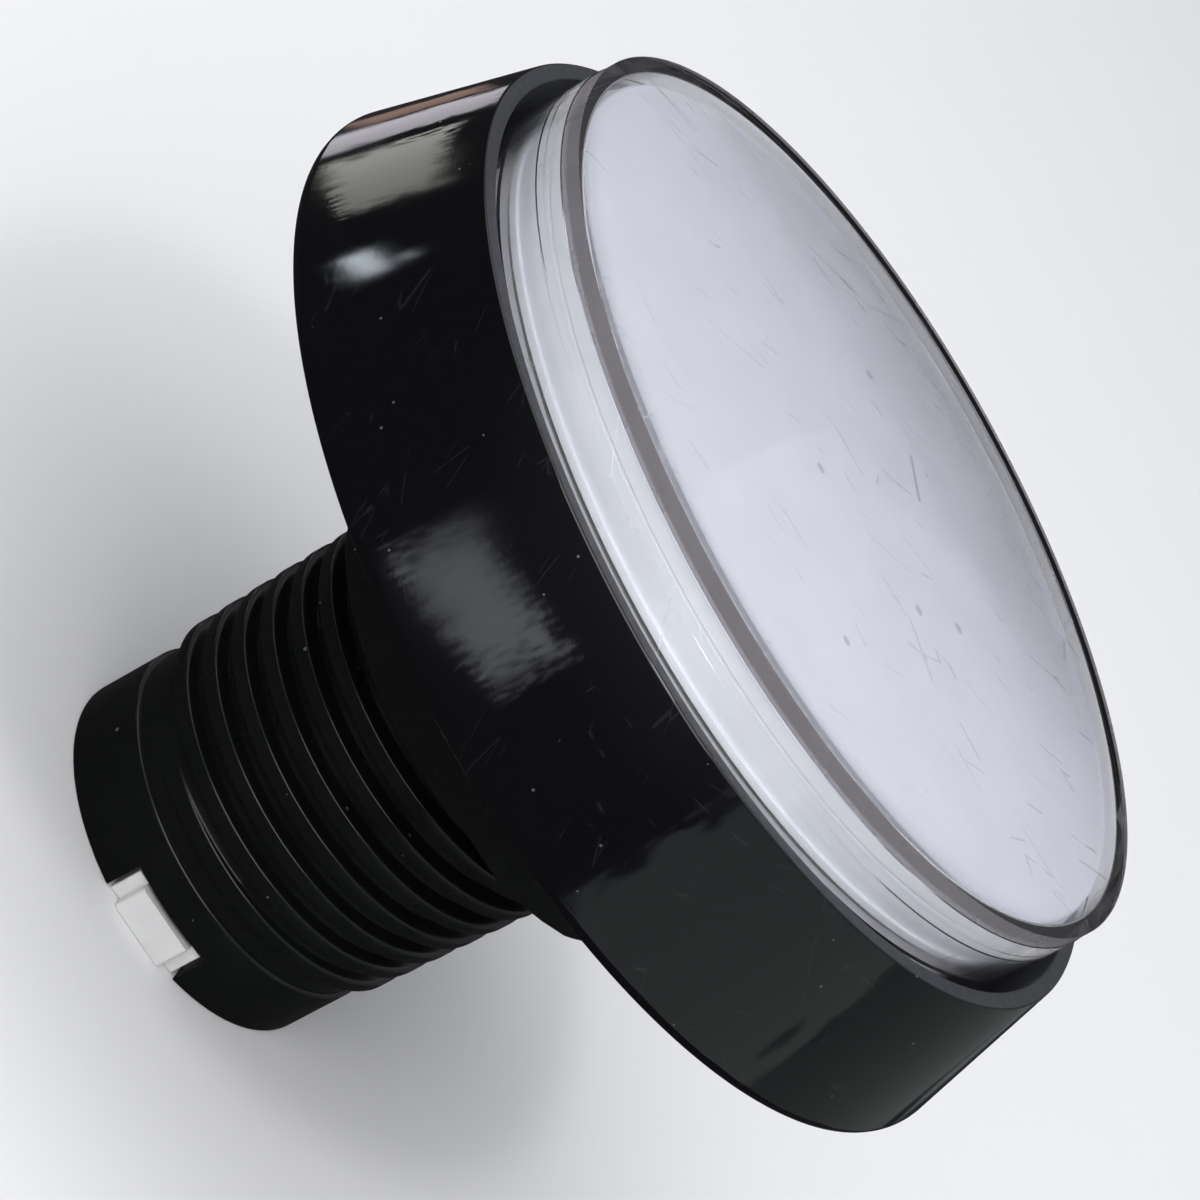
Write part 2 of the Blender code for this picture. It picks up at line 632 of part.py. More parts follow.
def resistor(mat):
    """Axial resistor between the lamps, along Y."""
    turned = [(0.0, -1.6), (0.7, -1.6), (0.85, -1.4), (0.85, -0.9), (0.72, -0.7), (0.72, 0.7),
              (0.85, 0.9), (0.85, 1.4), (0.7, 1.6), (0.0, 1.6)]
    bm = lathe(turned, 12)
    place = Matrix.Translation((0.0, LED_Y, BOARD_HIGH + GAP + 0.85)) @ Matrix.Rotation(math.pi / 2, 4, "X")
    bmesh.ops.transform(bm, matrix=place, verts=bm.verts)
    return add_object("resistor", bm, mat)


def lamp_tab(name, x, mat):
    bm = box(x - TAB_WIDTH / 2, x + TAB_WIDTH / 2, LAMP_TAB_Y - TAB_THICK / 2,
             LAMP_TAB_Y + TAB_THICK / 2, TAB_END, BOARD_LOW - GAP)
    return add_object(name, bm, mat)


def main():
    clear_scene()
    black_gloss = material("black_gloss", (0.012, 0.012, 0.013), 0.12)
    black_matte = material("black_matte", (0.022, 0.023, 0.025), 0.45)
    clear = material("clear_plastic", (0.93, 0.93, 0.97), 0.04, transmission=1.0)
    white = material("diffuser_white", (0.62, 0.63, 0.68), 0.5)
    nylon = material("white_nylon", (0.72, 0.71, 0.68), 0.4)
    steel = material("spring_steel", (0.5, 0.5, 0.5), 0.3, metallic=1.0)
    case_black = material("switch_plastic", (0.03, 0.03, 0.03), 0.5)
    red = material("button_red", (0.5, 0.03, 0.02), 0.4)
    brass = material("tinned_brass", (0.7, 0.66, 0.55), 0.3, metallic=1.0)
    board_green = material("board_green", (0.02, 0.16, 0.05), 0.4)
    lamp_clear = material("lamp_clear", (0.9, 0.9, 0.85), 0.08, transmission=0.8)
    tan = material("resistor_tan", (0.55, 0.42, 0.25), 0.5)

    bezel_shell(black_gloss)
    threaded_body(black_matte)
    lens_cap(clear)
    diffuser(white)
    plunger(nylon)
    return_spring(steel)
    terminal_carrier(nylon)
    switch_case(case_black)
    switch_cover(case_black)
    lever_pin(steel)
    switch_lever(steel)
    switch_button(red)
    contact_common(brass)
    contact_open(brass)
    contact_closed(brass)
    contact_blade(brass)
    lamp_board(board_green)
    led("led_left", -LED_X, lamp_clear)
    led("led_right", LED_X, lamp_clear)
    resistor(tan)
    lamp_tab("lamp_tab_left", -LAMP_TAB_X, brass)
    lamp_tab("lamp_tab_right", LAMP_TAB_X, brass)


main()
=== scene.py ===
"""Looks for the illuminated quiz buzzer: detailed pieces, materials, light and camera.

Heights and radii below are millimetres, as in the CAD part: +Z runs along the button's axis from the
open end of the stem to the pressed face, and -Y goes through the middle of one notch in the stem.
"""
import math

import bmesh
import bpy
from mathutils import Matrix, Vector


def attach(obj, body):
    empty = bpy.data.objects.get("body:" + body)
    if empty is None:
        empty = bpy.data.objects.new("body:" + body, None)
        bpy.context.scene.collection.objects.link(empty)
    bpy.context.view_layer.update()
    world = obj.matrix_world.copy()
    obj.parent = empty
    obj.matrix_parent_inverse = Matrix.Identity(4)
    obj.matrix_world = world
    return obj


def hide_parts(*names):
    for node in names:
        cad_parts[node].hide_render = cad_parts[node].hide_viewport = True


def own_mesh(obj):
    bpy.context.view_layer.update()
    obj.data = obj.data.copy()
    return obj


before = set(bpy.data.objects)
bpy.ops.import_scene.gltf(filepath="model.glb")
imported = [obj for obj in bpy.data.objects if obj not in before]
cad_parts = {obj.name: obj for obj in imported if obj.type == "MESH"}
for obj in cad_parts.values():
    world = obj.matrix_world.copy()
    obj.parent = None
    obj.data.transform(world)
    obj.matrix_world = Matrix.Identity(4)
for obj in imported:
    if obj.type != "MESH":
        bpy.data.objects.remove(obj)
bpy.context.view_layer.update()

MM = 0.001
TAU = 2 * math.pi

# ---------------------------------------------------------------- sizes

# Bezel: SEAT is the plane that rests on the panel
SEAT = 30.1
RIM = SEAT + 10.1
BEZEL_REAR = 30.0
RIM_OUTER = 27.45
RIM_INNER = 26.5
BEAD = 27.2
POCKET = 27.7
# Lens: SHOULDER is the underside of its plate
SHOULDER = SEAT + 13.27
LENS_EDGE = SEAT + 14.44
LENS_CROWN = 0.4
LENS_OUTER = 25.55
LENS_INNER = 24.55
LENS_LIP = 23.55
LENS_END = 36.5
LENS_PLATE = LENS_OUTER - 0.08
LENS_RIDGE = RIM + 1.67
# Diffuser, which stands on the plunger's disc
DISC_POCKET = 24.3
DISC_LOW, DISC_HIGH = 37.6, 39.4
DIFFUSER = 24.05
DIFFUSER_FOOT = 24.25
DIFFUSER_LOW, DIFFUSER_HIGH = DISC_HIGH + 0.3, SHOULDER - 0.3
FOOT_TOP = DIFFUSER_LOW + 0.45
GROOVE = DIFFUSER_HIGH - 1.0
DIFFUSER_TOP_WALL, DIFFUSER_SIDE_WALL = 1.2, 0.9
# Stem
COLLAR = 10.65
COLLAR_TOP = 4.57
NOTCH_TOP = 2.35
NOTCH_WIDTH = 6.3
NECK = 12.9
NECK_BOTTOM = 20.3
# Lug on the +X side of the neck: angle from +X in degrees, radius
NECK_LUG = [(40.0, 14.6), (48.0, 14.35), (56.0, 14.15), (64.0, 13.9), (75.0, 12.85)]
FLANGE = 27.4
FLANGE_TOP = SEAT + 3.0
BORE = 9.1
GUIDE_BORE = 8.1
GUIDE_END = 27.3
CATCH_LOW, CATCH_HIGH, CATCH_DEPTH = 3.4, 4.2, 0.45     # groove that holds the carrier
# Hollows in the underside of the flange: radii, half angle in degrees, top above the seat
HOLLOWS = 6
HOLLOW_INNER, HOLLOW_OUTER, HOLLOW_HALF_ANGLE, HOLLOW_TOP = 16.5, 25.0, 26.0, 1.6
THREAD_ROOT = 10.4
THREAD_CREST_TOP = 11.52
THREAD_CREST_END = 11.08
THREAD_MARGIN = 0.06
THREAD_START = -140.0
PITCH = 2.0
# One pitch of the thread: share of the pitch, share of the depth; the crest's corners are rounded
THREAD_SHAPE = [(0.0, 0.0), (0.34, 0.0), (0.385, 0.2), (0.415, 0.68), (0.44, 0.9), (0.475, 0.985),
                (0.51, 1.0), (0.84, 1.0), (0.875, 0.985), (0.91, 0.9), (0.935, 0.68), (0.965, 0.2)]
# White carrier in the stem's open end
CARRIER = 8.8
CARRIER_BORE = 7.8
CARRIER_TOP = 11.6
FLOOR_LOW, FLOOR_HIGH = 4.9, 6.4
KEY_HALF = 2.85
KEY_INNER, KEY_SIDE = 8.2, 9.9
KEY_BLOCK = 10.75
BLOCK_HALF = 2.07
TAB_SPACING, TAB_THICK, TAB_WIDTH, TAB_GAP = 5.05, 0.5, 2.0, 0.3
SWITCH_Y = -1.2
LAMP_TAB_X, LAMP_TAB_Y = 4.1, 5.1
# Return spring
WIRE, COIL = 0.8, 8.2
SPRING_LOW, SPRING_HIGH, SPRING_TURNS = 11.9, 25.3, 6.0

FINE = 256                  # steps round the bezel and the lens
TURN = 144                  # steps round the stem

CARD_AIM = 36.0             # height that the lights face
PANEL_AIM = 35.0            # height that the glow panels face
PANEL_DISTANCE = 3.0        # metres


# ---------------------------------------------------------------- mesh helpers

def place(name, bm, mats, body, replaced, smooth_angle=30.0):
    """Turn a millimetre bmesh into a piece that rides on a body and stands for a CAD node."""
    bmesh.ops.recalc_face_normals(bm, faces=bm.faces)
    bmesh.ops.scale(bm, verts=bm.verts, vec=(MM, MM, MM))
    mesh = bpy.data.meshes.new(name)
    bm.to_mesh(mesh)
    bm.free()
    for mat in mats:
        mesh.materials.append(mat)
    mesh.shade_smooth()
    mesh.set_sharp_from_angle(angle=math.radians(smooth_angle))
    obj = bpy.data.objects.new(name, mesh)
    bpy.context.scene.collection.objects.link(obj)
    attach(obj, body)
    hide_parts(replaced)
    return obj


def ring_of(bm, radius, height, segments, start=0.0):
    """Vertices round the axis, from the angle start in radians."""
    step = TAU / segments
    return [
        bm.verts.new((radius * math.cos(start + i * step), radius * math.sin(start + i * step), height))
        for i in range(segments)
    ]


def join_rings(bm, lower, upper):
    """Close the band between two loops with the same number of vertices."""
    count = len(lower)
    for i in range(count):
        j = (i + 1) % count
        bm.faces.new((lower[i], lower[j], upper[j], upper[i]))


def lathe(profile, segments=FINE):
    """Turn a closed outline of (radius, height) points; a radius of 0 makes a pole."""
    bm = bmesh.new()
    rings = [ring_of(bm, r, z, segments) if r > 0 else bm.verts.new((0, 0, z)) for r, z in profile]
    for first, second in zip(rings, rings[1:] + rings[:1]):
        if isinstance(first, list) and isinstance(second, list):
            join_rings(bm, first, second)
        elif isinstance(first, list) or isinstance(second, list):
            ring, tip = (first, second) if isinstance(first, list) else (second, first)
            for i in range(segments):
                bm.faces.new((ring[i], ring[(i + 1) % segments], tip))
    return bm


def rounded(points, closed=True):
    """Round the corners of an outline. Each point is (across, height) or (across, height, fillet)."""
    steps = 5
    result = []
    count = len(points)
    for i, point in enumerate(points):
        here = Vector(point[:2])
        fillet = point[2] if len(point) > 2 else 0.0
        if fillet == 0.0 or (not closed and i in (0, count - 1)):
            result.append(tuple(here))
            continue
        before = (Vector(points[i - 1][:2]) - here).normalized()
        after = (Vector(points[(i + 1) % count][:2]) - here).normalized()
        start, end = here + before * fillet, here + after * fillet
        for k in range(steps + 1):
            t = k / steps
            spot = start * (1 - t) ** 2 + here * 2 * t * (1 - t) + end * t * t
            result.append(tuple(spot))
    return result


def prism(bm, outline, low, high):
    """Add an outline of (x, y) points, extruded from one height to another."""
    bottom = [bm.verts.new((x, y, low)) for x, y in outline]
    top = [bm.verts.new((x, y, high)) for x, y in outline]
    bm.faces.new(bottom)
    bm.faces.new(top)
    join_rings(bm, bottom, top)
    return bm


def block(bm, x0, x1, y0, y1, z0, z1):
    """Add a box between two corners."""
    return prism(bm, [(x0, y0), (x1, y0), (x1, y1), (x0, y1)], z0, z1)


def combine(bm, tool, operation):
    """Exact boolean of two millimetre bmeshes; returns a new bmesh."""
    objects = []
    for part in (bm, tool):
        bmesh.ops.recalc_face_normals(part, faces=part.faces)
        mesh = bpy.data.meshes.new("scratch")
        part.to_mesh(mesh)
        part.free()
        objects.append(bpy.data.objects.new("scratch", mesh))
        bpy.context.scene.collection.objects.link(objects[-1])
    modifier = objects[0].modifiers.new("combine", "BOOLEAN")
    modifier.operation = operation
    modifier.solver = "EXACT"
    modifier.object = objects[1]
    bpy.context.view_layer.update()
    result = bmesh.new()
    depsgraph = bpy.context.evaluated_depsgraph_get()
    result.from_mesh(objects[0].evaluated_get(depsgraph).to_mesh())
    for obj in objects:
        mesh = obj.data
        bpy.data.objects.remove(obj)
        bpy.data.meshes.remove(mesh)
    return result


# ---------------------------------------------------------------- material helpers

def map_range(tree, value, low, high, out_low, out_high):
    """Add a node that maps a range of a value to another range, and clamps it there."""
    made = tree.nodes.new("ShaderNodeMapRange")
    tree.links.new(value, made.inputs["Value"])
    for key, number in (("From Min", low), ("From Max", high), ("To Min", out_low), ("To Max", out_high)):
        made.inputs[key].default_value = number
    return made.outputs["Result"]


class Look:
    """A material with a Principled shader, and short calls that add nodes to it."""

    def __init__(self, name, colour, roughness, **sockets):
        self.mat = bpy.data.materials.new(name)
        self.mat.use_nodes = True
        self.tree = self.mat.node_tree
        self.shader = self.tree.nodes["Principled BSDF"]
        self.set("Base Color", (*colour, 1.0))
        self.set("Roughness", roughness)
        for key, value in sockets.items():
            self.set(key.replace("_", " "), value)
        self.where = self.tree.nodes.new("ShaderNodeTexCoord").outputs["Object"]

    def set(self, socket, value):
        """Give a socket of the shader one value for the whole surface."""
        self.shader.inputs[socket].default_value = value

    def feed(self, socket, output):
        """Link an output to a socket of the shader."""
        self.tree.links.new(output, self.shader.inputs[socket])

    def plug(self, socket, value):
        """Link an output to a socket, or set the socket to a number or colour."""
        if isinstance(value, bpy.types.NodeSocket):
            self.tree.links.new(value, socket)
        else:
            socket.default_value = value

    def node(self, kind, **inputs):
        """Add a node and fill the inputs that are named."""
        made = self.tree.nodes.new("ShaderNode" + kind)
        for key, value in inputs.items():
            self.plug(made.inputs[key], value)
        return made

    def noise(self, scale, detail, vector=None):
        """0 to 1 clouds; scale is in waves per metre."""
        return self.node("TexNoise", Vector=vector or self.where, Scale=scale, Detail=detail).outputs["Fac"]

    def ramp(self, value, low, high, out_low, out_high):
        """Map a range of a value to another range, and clamp it there."""
        return map_range(self.tree, value, low, high, out_low, out_high)

    def calc(self, operation, first, second):
        """Math node of two outputs or numbers."""
        made = self.tree.nodes.new("ShaderNodeMath")
        made.operation = operation
        self.plug(made.inputs[0], first)
        self.plug(made.inputs[1], second)
        return made.outputs[0]

    def add(self, first, second):
        return self.calc("ADD", first, second)

    def times(self, first, second):
        return self.calc("MULTIPLY", first, second)

    def most(self, first, second):
        return self.calc("MAXIMUM", first, second)

    def tint(self, factor, first, second):
        """Mix two colours, or two colour outputs, by a factor output."""
        made = self.tree.nodes.new("ShaderNodeMix")
        made.data_type = "RGBA"
        self.tree.links.new(factor, made.inputs["Factor"])
        for socket, value in zip((made.inputs[6], made.inputs[7]), (first, second)):
            self.plug(socket, (*value, 1.0) if isinstance(value, tuple) else value)
        return made.outputs[2]

    def bump(self, height, distance, normal=None):
        """Bumps of a height in metres, laid over another bump's normal if one is given."""
        made = self.node("Bump", Height=height, Distance=distance, Strength=1.0)
        if normal is not None:
            self.tree.links.new(normal, made.inputs["Normal"])
        return made.outputs["Normal"]

    def mix_surface(self, factor, first, second):
        """Make the surface a mix of two shaders."""
        blend = self.node("MixShader", Fac=factor)
        self.tree.links.new(first, blend.inputs[1])
        self.tree.links.new(second, blend.inputs[2])
        self.tree.links.new(blend.outputs["Shader"], self.tree.nodes["Material Output"].inputs["Surface"])


def scratches(look, scale, angle, seed):
    """0 to 1 value that is 1 along sparse thin marks; scale is lines per metre, angle is radians."""
    width, share = 0.015, 0.6
    turned = look.node("Mapping", Vector=look.where, Rotation=(angle, angle * 0.7, angle * 1.3),
                       Location=(seed, seed * 0.37, seed * 0.73))
    wander = look.noise(scale * 0.6, 1.0, turned.outputs["Vector"])
    stretched = look.node("Mapping", Vector=turned.outputs["Vector"],
                          Scale=(scale, scale * 0.12, scale * 0.12))
    line = look.node("TexVoronoi", Vector=stretched.outputs["Vector"], Scale=1.0)
    line.feature = "DISTANCE_TO_EDGE"
    thin = look.ramp(line.outputs["Distance"], 0.0, width, 1.0, 0.0)
    here = look.ramp(wander, share, share + 0.04, 0.0, 1.0)
    return look.times(thin, here)


def specks(look, scale, size, share, seed):
    """0 to 1 value that is 1 on scattered grains.

    scale is cells per metre, size a grain's share of its cell, and share the share of cells with a grain.
    """
    moved = look.node("Mapping", Vector=look.where, Location=(seed, seed * 0.61, seed * 0.29))
    grain = look.node("TexVoronoi", Vector=moved.outputs["Vector"], Scale=scale)
    dot = look.ramp(grain.outputs["Distance"], size, size * 1.4, 1.0, 0.0)
    chosen = look.node("SeparateColor", Color=grain.outputs["Color"])
    keep = look.ramp(chosen.outputs[0], share, share + 0.01, 1.0, 0.0)
    return look.times(dot, keep)


def two_of(look, marks, first, second):
    """Two sets of scratches or specks together, each with its own settings."""
    return look.most(marks(look, *first), marks(look, *second))


# ---------------------------------------------------------------- materials

def black_gloss():
    """Polished black plastic with dust, hairline scratches and a slight unevenness."""
    black = (0.0028, 0.0029, 0.0035)
    look = Look("black_gloss", black, 0.06, IOR=1.5)
    dust = two_of(look, specks, (1500.0, 0.09, 0.04, 0.3), (700.0, 0.05, 0.02, 1.9))
    hairs = two_of(look, scratches, (900.0, 0.5, 1.7), (700.0, 2.1, 5.2))
    marks = look.most(look.times(dust, 0.5), look.times(hairs, 0.06))
    look.feed("Base Color", look.tint(marks, black, (0.16, 0.16, 0.17)))
    smear = look.ramp(look.noise(150.0, 3.0), 0.35, 0.75, 0.04, 0.11)
    look.feed("Roughness", look.add(smear, look.times(marks, 0.4)))
    wave = look.bump(look.noise(70.0, 1.0), 0.00002)
    look.feed("Normal", look.bump(look.noise(2600.0, 2.0), 0.0000008, wave))
    return look.mat


def rim_matte():
    """The unpolished front edge of the bezel."""
    look = Look("rim_matte", (0.035, 0.037, 0.042), 0.5)
    grain = look.noise(1500.0, 3.0)
    look.feed("Base Color", look.tint(grain, (0.020, 0.022, 0.026), (0.034, 0.036, 0.042)))
    look.feed("Roughness", look.ramp(grain, 0.3, 0.7, 0.42, 0.6))
    look.feed("Normal", look.bump(look.noise(4000.0, 2.0), 0.00001))
    return look.mat


def black_matte():
    """Satin black moulding of the stem."""
    look = Look("black_matte", (0.0045, 0.005, 0.005), 0.3, Specular_IOR_Level=0.4)
    tone = look.noise(260.0, 4.0)
    dust = specks(look, 1400.0, 0.14, 0.04, 1.1)
    base = look.tint(tone, (0.0035, 0.004, 0.004), (0.006, 0.0065, 0.0065))
    look.feed("Base Color", look.tint(look.times(dust, 0.6), base, (0.14, 0.14, 0.14)))
    look.feed("Roughness", look.ramp(look.noise(420.0, 3.0), 0.3, 0.7, 0.2, 0.32))
    look.feed("Normal", look.bump(look.noise(3000.0, 3.0), 0.000005))
    return look.mat


def clear_plastic(name="clear_plastic", roughness=0.02):
    """Clear lens with a faint violet tint; light reaches what it covers."""
    look = Look(name, (0.96, 0.96, 0.985), roughness, IOR=1.49)
    look.set("Transmission Weight", 1.0)
    hairs = two_of(look, scratches, (420.0, 0.9, 3.1), (380.0, 2.6, 8.4))
    look.feed("Roughness", look.add(look.times(hairs, 0.25), roughness))
    look.feed("Normal", look.bump(look.noise(90.0, 1.0), 0.00001))
    through = look.node("BsdfTransparent", Color=(0.92, 0.92, 0.95, 1.0))
    is_shadow = look.node("LightPath").outputs["Is Shadow Ray"]
    look.mix_surface(is_shadow, look.shader.outputs["BSDF"], through.outputs["BSDF"])
    return look.mat


def clear_edge_painted_shade():
    """Satin outer edge of the lens's top, painted grey: its grey diffuse colour is painted shade for the grey
    that the clear edge shows by refraction.
    """
    # grey base colour and low transmission: painted shade on clear plastic
    look = Look("clear_edge_painted_shade", (0.25, 0.235, 0.255), 0.3, IOR=1.49)
    look.set("Transmission Weight", 0.35)
    cloud = look.noise(300.0, 3.0)
    look.feed("Base Color", look.tint(cloud, (0.23, 0.215, 0.235), (0.27, 0.255, 0.275)))
    look.feed("Roughness", look.ramp(cloud, 0.3, 0.7, 0.2, 0.36))
    return look.mat


def diffuser_white(name, colour):
    """Milky plastic with faint clouding and a few dust grains."""
    look = Look(name, colour, 0.45)
    cloud = look.noise(240.0, 4.0)
    darker = tuple(0.94 * value for value in colour)
    base = look.tint(look.ramp(cloud, 0.3, 0.7, 0.0, 1.0), darker, colour)
    grains = two_of(look, specks, (330.0, 0.09, 0.09, 0.7), (130.0, 0.05, 0.12, 2.3))
    look.feed("Base Color", look.tint(look.times(grains, 0.55), base, (0.25, 0.25, 0.28)))
    look.feed("Roughness", look.ramp(cloud, 0.3, 0.7, 0.4, 0.55))
    look.feed("Normal", look.bump(look.noise(1800.0, 2.0), 0.000006))
    return look.mat


def white_nylon():
    """Natural white moulding with a satin surface."""
    look = Look("white_nylon", (0.74, 0.74, 0.72), 0.4)
    look.set("Subsurface Weight", 0.15)
    look.set("Subsurface Radius", (0.001, 0.0009, 0.0008))
    cloud = look.noise(500.0, 3.0)
    look.feed("Base Color", look.tint(cloud, (0.68, 0.68, 0.67), (0.79, 0.79, 0.79)))
    look.feed("Roughness", look.ramp(cloud, 0.3, 0.7, 0.34, 0.5))
    look.feed("Normal", look.bump(look.noise(1500.0, 3.0), 0.00001))
    return look.mat


def metal(name, low, high, roughness, stretch):
    """Drawn or rolled metal: fine lines along one direction."""
    look = Look(name, high, roughness, Metallic=1.0)
    along = look.node("Mapping", Vector=look.where, Scale=stretch)
    lines = look.noise(1.0, 4.0, along.outputs["Vector"])
    look.feed("Base Color", look.tint(lines, low, high))
    look.feed("Roughness", look.ramp(lines, 0.3, 0.7, roughness - 0.08, roughness + 0.1))
    look.feed("Normal", look.bump(lines, 0.000006))
    return look.mat


def moulding(name, low, high, roughness):
    """Plain moulded or lacquered surface with a fine grain."""
    look = Look(name, high, roughness)
    grain = look.noise(700.0, 4.0)
    look.feed("Base Color", look.tint(grain, low, high))
    look.feed("Roughness", look.ramp(grain, 0.3, 0.7, roughness - 0.07, roughness + 0.08))
    look.feed("Normal", look.bump(look.noise(2800.0, 2.0), 0.000006))
    return look.mat


def lamp_clear():
    """Clear body of the lamps, with slight swirls."""
    look = Look("lamp_clear", (0.92, 0.92, 0.88), 0.06, IOR=1.5)
    look.set("Transmission Weight", 0.85)
    swirl = look.noise(900.0, 3.0)
    look.feed("Base Color", look.tint(swirl, (0.88, 0.88, 0.82), (0.95, 0.95, 0.92)))
    look.feed("Roughness", look.ramp(swirl, 0.3, 0.7, 0.04, 0.14))
    return look.mat


# ---------------------------------------------------------------- pieces

def bezel():
    """Conical ring with a small bead at the rear that snaps over the stem's flange."""
    profile = rounded([
        (RIM_INNER, RIM, 0.12), (RIM_OUTER, RIM, 0.12), (BEZEL_REAR, SEAT + 0.45, 0.35),
        (BEZEL_REAR - 0.25, SEAT, 0.25), (BEAD, SEAT, 0.2), (BEAD, SEAT + 0.6), (POCKET, SEAT + 0.9),
        (POCKET, FLANGE_TOP + 0.3), (RIM_INNER, FLANGE_TOP + 0.3),
    ])
    bm = lathe(profile)
    for face in bm.faces:
        on_rim = all(vert.co.to_2d().length < RIM_OUTER - 0.05 for vert in face.verts)
        face.material_index = 1 if on_rim else 0
    return place("bezel", bm, [black_gloss(), rim_matte()], "housing", "bezel_shell")


def thread_column(k, columns, fade):
    """Points of one step of the thread; only the root once the last turn is done."""
    last = columns - 1
    crest = THREAD_CREST_END + (THREAD_CREST_TOP - THREAD_CREST_END) * min(1.0, k / last)
    share_in = max(0.0, min(1.0, k / fade, (last - k) / fade))
    depth = (crest - THREAD_ROOT) * share_in
    angle = math.radians(THREAD_START) + TAU * k / TURN
    base = COLLAR_TOP + THREAD_MARGIN + PITCH * k / TURN
    shape = THREAD_SHAPE if k < columns else THREAD_SHAPE[:1]
    return [
        ((THREAD_ROOT + depth * share) * math.cos(angle), (THREAD_ROOT + depth * share) * math.sin(angle),
         base + PITCH * along)
        for along, share in shape
    ]


def thread(bm, low_ring, high_ring):
    """Helical surface between two plain rings; both ends of the thread fade into its root."""
    room = NECK_BOTTOM - COLLAR_TOP - 2 * THREAD_MARGIN
    columns = int((room / PITCH - 1.0) * TURN)
    last = columns - 1
    grid = [
        [bm.verts.new(spot) for spot in thread_column(k, columns, TURN // 3)]
        for k in range(columns + TURN)
    ]

    def edge(k):
        """One pitch of the outline, up to the start of the turn above."""
        return grid[k] + [grid[k + TURN][0]]

    for k in range(last):
        left, right = edge(k), edge(k + 1)
        for m in range(len(left) - 1):
            bm.faces.new((left[m], right[m], right[m + 1], left[m + 1]))
    for i in range(TURN - 1):
        bm.faces.new((low_ring[i], low_ring[i + 1], grid[i + 1][0], grid[i][0]))
    bm.faces.new([low_ring[-1], low_ring[0]] + edge(0) + [grid[TURN - 1][0]])
    for k in range(columns, last + TURN):
        bm.faces.new((grid[k][0], grid[k + 1][0], high_ring[(k + 1) % TURN], high_ring[k % TURN]))
    bm.faces.new([grid[columns][0]] + edge(last) + [high_ring[last % TURN], high_ring[columns % TURN]])


def lug_outline():
    """Outline of the neck's lug: a slice of a ring whose outer side slopes down at both ends."""
    inner = NECK - 1.0
    steps = 24
    half = [(math.radians(a), r) for a, r in NECK_LUG]
    start, radius = half[0]
    outside = [(start * (2 * i / steps - 1), radius) for i in range(1, steps)]
    outside = [(-a, r) for a, r in reversed(half)] + outside + half
    end = half[-1][0]
    inside = [(end * (1 - 2 * i / steps), inner) for i in range(steps + 1)]
    return [(r * math.cos(a), r * math.sin(a)) for a, r in outside + inside]


def sector(inner, outer, middle, half_angle):
    """Outline of a slice of a ring; angles in degrees."""
    steps = 12
    angles = [math.radians(middle - half_angle + 2 * half_angle * i / steps) for i in range(steps + 1)]
    outside = [(outer * math.cos(a), outer * math.sin(a)) for a in angles]
    inside = [(inner * math.cos(a), inner * math.sin(a)) for a in reversed(angles)]
    return outside + inside


def stem():
    """Collar, thread, neck with its lug, and the flange with hollows in its underside."""
    bm = bmesh.new()
    below = rounded([
        (BORE, 0.0, 0.1), (COLLAR, 0.0, 0.22), (COLLAR, COLLAR_TOP, 0.22), (THREAD_ROOT, COLLAR_TOP + 0.02),
    ], closed=False)
    above = rounded([
        (THREAD_ROOT, NECK_BOTTOM, 0.0), (NECK, NECK_BOTTOM, 0.15), (NECK, SEAT), (FLANGE - 0.5, SEAT),
        (FLANGE - 0.5, SEAT + 0.9), (FLANGE, SEAT + 1.2), (FLANGE, FLANGE_TOP), (GUIDE_BORE, FLANGE_TOP, 0.3),
        (GUIDE_BORE, GUIDE_END + 0.3), (BORE, GUIDE_END), (BORE, CATCH_HIGH + 0.2),
        (BORE + CATCH_DEPTH, CATCH_HIGH), (BORE + CATCH_DEPTH, CATCH_LOW), (BORE, CATCH_LOW - 0.2),
    ], closed=False)
    start = math.radians(THREAD_START)
    rings_below = [ring_of(bm, r, z, TURN, start) for r, z in below]
    rings_above = [ring_of(bm, r, z, TURN, start) for r, z in above]
    for first, second in zip(rings_below, rings_below[1:]):
        join_rings(bm, first, second)
    for first, second in zip(rings_above, rings_above[1:] + rings_below[:1]):
        join_rings(bm, first, second)
    thread(bm, rings_below[-1], rings_above[0])
    bm = combine(bm, prism(bmesh.new(), lug_outline(), NECK_BOTTOM + 0.05, SEAT + 0.5), "UNION")
    cuts = bmesh.new()
    half = NOTCH_WIDTH / 2
    block(cuts, -half, half, -COLLAR - 1, -BORE + 1.5, -1.0, NOTCH_TOP)
    block(cuts, -half, half, BORE - 1.5, COLLAR + 1, -1.0, NOTCH_TOP)
    for i in range(HOLLOWS):
        middle = (i + 0.5) * 360 / HOLLOWS
        outline = sector(HOLLOW_INNER, HOLLOW_OUTER, middle, HOLLOW_HALF_ANGLE)
        prism(cuts, outline, SEAT - 1.0, SEAT + HOLLOW_TOP)
    bm = combine(bm, cuts, "DIFFERENCE")
    return place("stem", bm, [black_matte()], "housing", "threaded_body", 40.0)


def key_outline(side):
    """Outline of the carrier's key and the block on it; side is -1 or 1 along Y."""
    points = [
        (-KEY_HALF, KEY_INNER), (KEY_HALF, KEY_INNER), (KEY_HALF, KEY_SIDE, 0.12), (BLOCK_HALF, KEY_SIDE),
        (BLOCK_HALF - 0.02, KEY_BLOCK, 0.28), (0.02 - BLOCK_HALF, KEY_BLOCK, 0.28),
        (-BLOCK_HALF, KEY_SIDE), (-KEY_HALF, KEY_SIDE, 0.12),
    ]
    return [(x, side * y) for x, y in rounded(points)]


